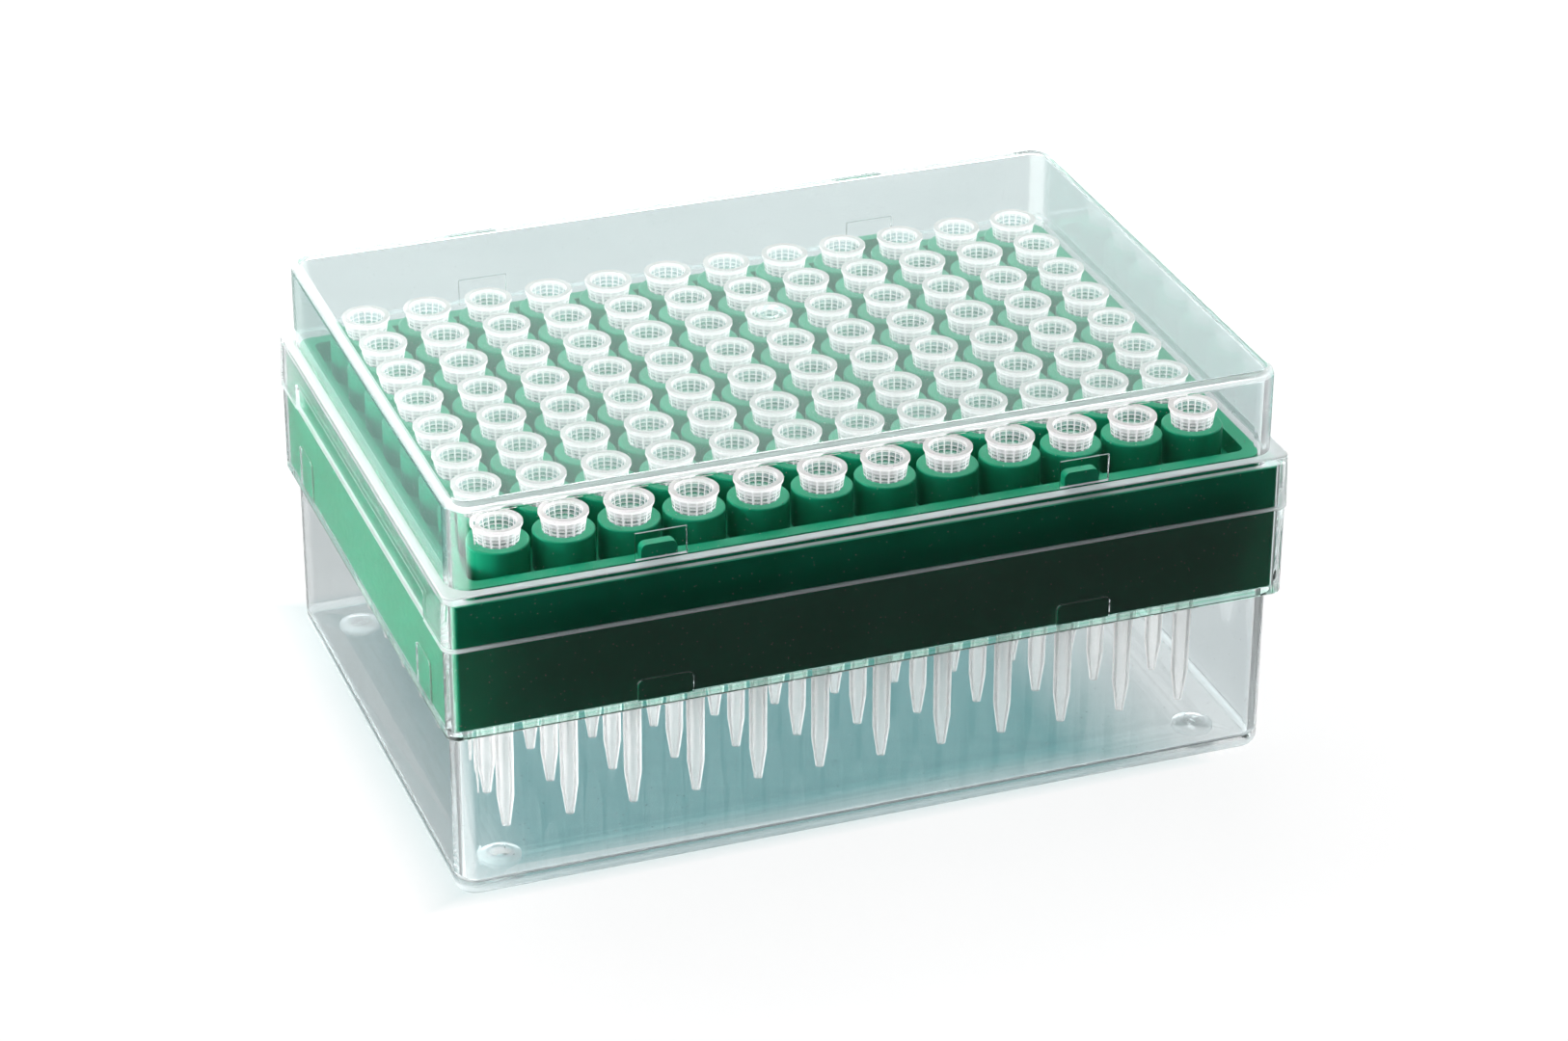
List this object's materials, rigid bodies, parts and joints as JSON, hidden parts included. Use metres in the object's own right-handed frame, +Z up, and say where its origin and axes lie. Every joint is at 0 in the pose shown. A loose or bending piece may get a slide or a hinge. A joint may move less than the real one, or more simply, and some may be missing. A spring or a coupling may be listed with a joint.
{
  "type": "box of pipette tips",
  "caption": "Clear lidded box holding a green moulded tray of translucent pipette tips on a square grid, hanging point down.",
  "frame": {"origin": "middle of the box's underside, on the surface it stands on", "axes": "+X along the long side, which is the row of twelve tips; +Y across the box to the back; +Z up, the way the cover lifts"},
  "size_m": [0.12, 0.0848, 0.0588],
  "materials": {
    "clear_plastic": "clear, polished polystyrene",
    "green_plastic": "satin moulded polypropylene",
    "tip_plastic": "translucent natural polypropylene"
  },
  "bodies": {
    "base": {"base_box": "clear_plastic", "tip_tray": "green_plastic", "tips_01_ab": "tip_plastic", "tips_01_cd": "tip_plastic", "tips_01_ef": "tip_plastic", "tips_01_gh": "tip_plastic", "tips_02_ab": "tip_plastic", "tips_02_cd": "tip_plastic", "tips_02_ef": "tip_plastic", "tips_02_gh": "tip_plastic", "tips_03_ab": "tip_plastic", "tips_03_cd": "tip_plastic", "tips_03_ef": "tip_plastic", "tips_03_gh": "tip_plastic", "tips_04_ab": "tip_plastic", "tips_04_cd": "tip_plastic", "tips_04_ef": "tip_plastic", "tips_04_gh": "tip_plastic", "tips_05_ab": "tip_plastic", "tips_05_cd": "tip_plastic", "tips_05_ef": "tip_plastic", "tips_05_gh": "tip_plastic", "tips_06_ab": "tip_plastic", "tips_06_cd": "tip_plastic", "tips_06_ef": "tip_plastic", "tips_06_gh": "tip_plastic", "tips_07_ab": "tip_plastic", "tips_07_cd": "tip_plastic", "tips_07_ef": "tip_plastic", "tips_07_gh": "tip_plastic", "tips_08_ab": "tip_plastic", "tips_08_cd": "tip_plastic", "tips_08_ef": "tip_plastic", "tips_08_gh": "tip_plastic", "tips_09_ab": "tip_plastic", "tips_09_cd": "tip_plastic", "tips_09_ef": "tip_plastic", "tips_09_gh": "tip_plastic", "tips_10_ab": "tip_plastic", "tips_10_cd": "tip_plastic", "tips_10_ef": "tip_plastic", "tips_10_gh": "tip_plastic", "tips_11_ab": "tip_plastic", "tips_11_cd": "tip_plastic", "tips_11_ef": "tip_plastic", "tips_11_gh": "tip_plastic", "tips_12_ab": "tip_plastic", "tips_12_cd": "tip_plastic", "tips_12_ef": "tip_plastic", "tips_12_gh": "tip_plastic"},
    "cover": {"cover": "clear_plastic"}
  },
  "joints": [
    {"name": "cover_lift", "type": "slide", "parent": "base", "child": "cover", "axis": [0, 0, 1], "range_m": [0, 0.03]}
  ]
}
